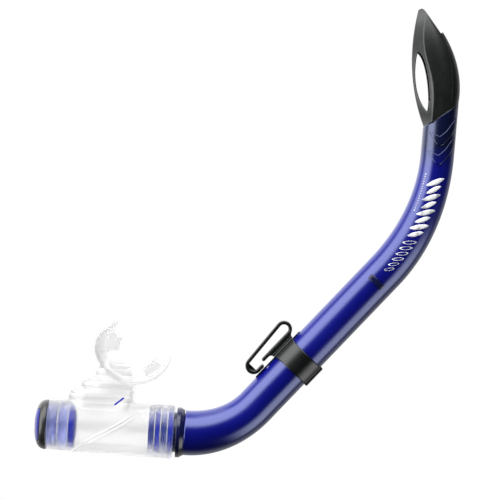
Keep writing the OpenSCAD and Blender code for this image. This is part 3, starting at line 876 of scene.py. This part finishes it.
def floor():
    rows, reach = 9, 3.0
    grid = np.linspace(-reach, reach, rows)
    points = [(x, y, cad_low[2] - FLOOR_DROP) for y in grid for x in grid]
    faces = [(i * rows + j, i * rows + j + 1, (i + 1) * rows + j + 1, (i + 1) * rows + j)
             for i in range(rows - 1) for j in range(rows - 1)]
    material, tree, shader = new_material("pale_floor")
    vector = object_place(tree)
    tree.links.new(ramp(tree, noise(tree, vector, 3), [(0.3, (0.84, 0.84, 0.84)), (0.7, (0.88, 0.88, 0.88))]),
                   shader.inputs["Base Color"])
    shader.inputs["Roughness"].default_value = 0.9
    mesh = bpy.data.meshes.new("studio_floor")
    mesh.from_pydata(points, [], faces)
    mesh.materials.append(material)
    thing = bpy.data.objects.new("studio_floor", mesh)
    bpy.context.scene.collection.objects.link(thing)
    # the studio's own light stands in for what this floor would bounce back
    thing.visible_glossy = thing.visible_diffuse = False
    thing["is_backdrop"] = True


def soft_box(name, direction, distance, width, height, radiance):
    """Soft light that faces the object's middle from a direction, with a given brightness."""
    light = bpy.data.lights.new(name, "AREA")
    light.shape = "RECTANGLE"
    light.size, light.size_y = width, height
    light.energy = radiance * math.pi * width * height
    thing = bpy.data.objects.new(name, light)
    bpy.context.scene.collection.objects.link(thing)
    way = Vector(direction).normalized()
    thing.location = centre + way * distance
    thing.rotation_euler = way.to_track_quat("Z", "Y").to_euler()
    thing.visible_camera = False


def studio_world():
    """Soft studio: dark behind the camera, a broad light upper left and a weaker one low on the right."""
    world = bpy.data.worlds.new("studio")
    bpy.context.scene.world = world
    world.use_nodes = True
    tree = world.node_tree
    background = tree.nodes["Background"]
    coords = add(tree, "ShaderNodeTexCoord")
    parts = add(tree, "ShaderNodeSeparateXYZ")
    tree.links.new(coords.outputs["Generated"], parts.inputs["Vector"])

    def soft(value, low, high):
        node = add(tree, "ShaderNodeMapRange", interpolation_type="SMOOTHSTEP")
        node.inputs["From Min"].default_value = low
        node.inputs["From Max"].default_value = high
        tree.links.new(value, node.inputs["Value"])
        return node.outputs["Result"]

    def math_node(kind, a, b=0.0, c=0.0):
        node = add(tree, "ShaderNodeMath", operation=kind)
        for socket, value in zip(node.inputs, (a, b, c)):
            if isinstance(value, (int, float)):
                socket.default_value = value
            else:
                tree.links.new(value, socket)
        return node.outputs[0]

    def towards(x, y, z):
        node = add(tree, "ShaderNodeVectorMath", operation="DOT_PRODUCT")
        tree.links.new(coords.outputs["Generated"], node.inputs[0])
        node.inputs[1].default_value = (x, y, z)
        return node.outputs["Value"]

    depth = parts.outputs["Y"]
    key = math_node("MULTIPLY", soft(depth, -0.91, -0.68), soft(towards(-0.64, 0, 0.77), 0.02, 0.36))
    key = math_node("MULTIPLY", key, soft(depth, 0.2, -0.25))
    off_axis = math_node("SQRT", math_node("MULTIPLY_ADD", depth, math_node("MULTIPLY", depth, -1.0), 1.001))
    heading = math_node("DIVIDE", towards(0.73, 0, -0.68), off_axis)
    low = math_node("MULTIPLY", soft(depth, -0.76, -0.48), soft(heading, 0.91, 0.985))
    low = math_node("MULTIPLY", low, soft(depth, 0.2, -0.05))
    rear = math_node("MULTIPLY", soft(depth, 0.1, 0.5), soft(towards(-0.64, 0, 0.77), 0.0, 0.3))
    rear = math_node("MULTIPLY_ADD", rear, REAR_LIGHT, 0.02)
    rear = math_node("MULTIPLY_ADD", soft(depth, 0.0, 0.6), 0.6, rear)
    light = math_node("ADD", math_node("MULTIPLY", key, KEY_LIGHT), math_node("MULTIPLY", low, LOW_LIGHT))
    light = math_node("ADD", light, rear)
    path = add(tree, "ShaderNodeLightPath")
    mix = add(tree, "ShaderNodeMix", data_type="FLOAT")
    through = math_node("MULTIPLY_ADD", soft(depth, -0.3, 0.1), 0.3, 0.7)
    through = math_node("MULTIPLY", path.outputs["Is Transmission Ray"], through)
    tree.links.new(math_node("MAXIMUM", path.outputs["Is Camera Ray"], through), mix.inputs[0])
    tree.links.new(light, mix.inputs[2])
    mix.inputs[3].default_value = 1.0
    tree.links.new(mix.outputs[0], background.inputs["Strength"])
    background.inputs["Color"].default_value = (1, 1, 1, 1)


floor()
studio_world()
soft_box("soft_top", (-0.3, 0.1, 0.95), 1.6, 0.8, 0.8, 1.5)

camera_data = bpy.data.cameras.new("camera")
camera_data.lens = CAMERA_LENS
camera_data.sensor_width = 36
camera_data.clip_end = 50
camera = bpy.data.objects.new("camera", camera_data)
bpy.context.scene.collection.objects.link(camera)
camera.location = (centre[0] + 1.85 * MM, -CAMERA_AWAY, centre[2] - 10.7 * MM)
camera.rotation_euler = (math.pi / 2, 0, 0)
bpy.context.scene.camera = camera
bpy.context.scene.view_settings.view_transform = "Standard"

low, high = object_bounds()
